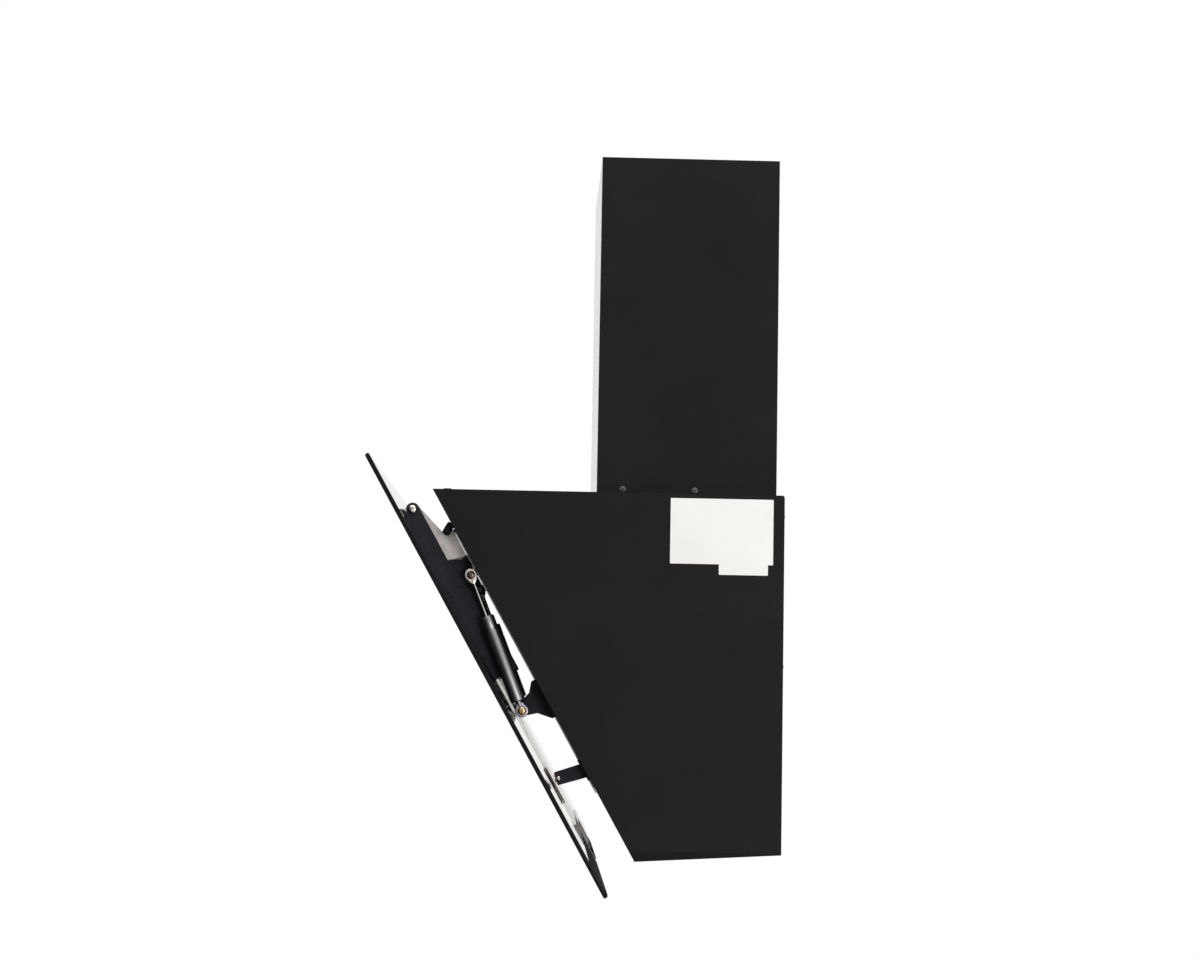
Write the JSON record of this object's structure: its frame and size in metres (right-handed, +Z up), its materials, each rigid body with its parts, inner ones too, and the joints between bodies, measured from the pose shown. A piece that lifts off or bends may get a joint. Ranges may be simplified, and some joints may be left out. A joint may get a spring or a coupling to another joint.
{
  "type": "wall cooker hood",
  "caption": "Wall cooker hood with a slanted black glass front that swings out on gas struts, a grease filter, a blower, lamps and a telescopic chimney.",
  "frame": {"origin": "centre of the four wall holes, on the wall face of the back panel", "axes": "+X is across the hood to the right as seen from the front, +Y points into the wall, +Z is up"},
  "size_m": [0.895, 0.3866, 0.7095],
  "materials": {
    "black_paint": "satin powder coat",
    "galvanised_steel": "satin",
    "bright_steel": "polished",
    "brass_plate": "satin",
    "motor_case": "satin",
    "black_glass": "gloss",
    "frosted_lens": "frosted",
    "filter_aluminium": "satin",
    "black_plastic": "matte",
    "pale_plastic": "matte",
    "black_rubber": "matte"
  },
  "bodies": {
    "hood_body": {"side_panel_right": "black_paint", "side_panel_left": "black_paint", "top_panel": "black_paint", "back_panel": "black_paint", "front_panel": "black_paint", "bottom_tray": "black_paint", "chimney_cover": "black_paint", "lamp_bezels": "black_paint", "strut_bracket_right": "black_paint", "strut_bracket_left": "black_paint", "catch_post": "black_paint", "chimney_angles": "galvanised_steel", "scroll_wrap": "galvanised_steel", "scroll_side_right": "galvanised_steel", "scroll_side_left": "galvanised_steel", "blower_feet": "galvanised_steel", "outlet_transition": "galvanised_steel", "motor_bracket": "galvanised_steel", "hinge_arm_right": "galvanised_steel", "hinge_arm_left": "galvanised_steel", "lamp_cans": "galvanised_steel", "chimney_screws": "bright_steel", "case_screws": "bright_steel", "front_screws": "bright_steel", "hinge_bolts": "bright_steel", "catch_screw": "bright_steel", "flap_pin": "bright_steel", "catch_magnet": "bright_steel", "lower_eye_screws": "brass_plate", "motor": "motor_case", "lamp_lenses": "frosted_lens", "duct_spigot": "black_plastic", "duct_flange": "black_plastic", "control_box": "black_plastic", "control_box_lid": "black_plastic", "cable_gland": "black_plastic", "capacitor": "pale_plastic", "bumpers": "black_rubber"},
    "inner_chimney": {"inner_chimney": "black_paint", "chimney_wall_strap": "galvanised_steel"},
    "impeller": {"impeller": "galvanised_steel", "motor_shaft": "bright_steel"},
    "front_flap": {"flap_front": "black_plastic"},
    "back_flap": {"flap_back": "black_plastic"},
    "grease_filter": {"filter_frame": "filter_aluminium", "filter_mesh": "filter_aluminium", "filter_handle": "black_plastic"},
    "glass_panel": {"glass_panel": "black_glass", "backing_plate": "galvanised_steel", "touch_control": "black_plastic", "pivot_bracket_right": "black_paint", "pivot_bracket_left": "black_paint", "lower_rail_right": "black_paint", "lower_rail_left": "black_paint", "striker_strip": "galvanised_steel", "upper_eye_screws": "bright_steel"},
    "right_tube": {"strut_tube_right": "black_paint"},
    "left_tube": {"strut_tube_left": "black_paint"},
    "right_rod": {"strut_rod_right": "bright_steel"},
    "left_rod": {"strut_rod_left": "bright_steel"}
  },
  "joints": [
    {"name": "panel_hinge", "type": "hinge", "parent": "hood_body", "child": "glass_panel", "pos_m": [0, -0.35998, 0.13152], "axis": [-1, 0, 0], "range_deg": [0, 38]},
    {"name": "right_tube_turn", "type": "hinge", "parent": "hood_body", "child": "right_tube", "pos_m": [0.185, -0.24984, -0.06135], "axis": [1, 0, 0], "range_deg": [0, 23]},
    {"name": "left_tube_turn", "type": "hinge", "parent": "hood_body", "child": "left_tube", "pos_m": [-0.185, -0.24984, -0.06135], "axis": [1, 0, 0], "range_deg": [0, 23]},
    {"name": "right_rod_turn", "type": "hinge", "parent": "glass_panel", "child": "right_rod", "pos_m": [0.185, -0.30163, 0.06829], "axis": [1, 0, 0], "range_deg": [0, 61]},
    {"name": "left_rod_turn", "type": "hinge", "parent": "glass_panel", "child": "left_rod", "pos_m": [-0.185, -0.30163, 0.06829], "axis": [1, 0, 0], "range_deg": [0, 61]},
    {"name": "chimney_slide", "type": "slide", "parent": "hood_body", "child": "inner_chimney", "axis": [0, 0, 1], "range_m": [0, 0.25]},
    {"name": "impeller_spin", "type": "hinge", "parent": "hood_body", "child": "impeller", "pos_m": [0, -0.118, 0.015], "axis": [1, 0, 0], "continuous": true},
    {"name": "front_flap_swing", "type": "hinge", "parent": "hood_body", "child": "front_flap", "pos_m": [0, -0.09, 0.17], "axis": [-1, 0, 0], "range_deg": [0, 70]},
    {"name": "back_flap_swing", "type": "hinge", "parent": "hood_body", "child": "back_flap", "pos_m": [0, -0.09, 0.17], "axis": [1, 0, 0], "range_deg": [0, 70]},
    {"name": "filter_tilt", "type": "hinge", "parent": "hood_body", "child": "grease_filter", "pos_m": [0, -0.17528, -0.14057], "axis": [1, 0, 0], "range_deg": [0, 4]}
  ],
  "couplings": [
    {"joint": "right_tube_turn", "follows": "panel_hinge", "ratio": 0.5946},
    {"joint": "left_tube_turn", "follows": "panel_hinge", "ratio": 0.5946},
    {"joint": "right_rod_turn", "follows": "panel_hinge", "ratio": 1.5946},
    {"joint": "left_rod_turn", "follows": "panel_hinge", "ratio": 1.5946}
  ]
}
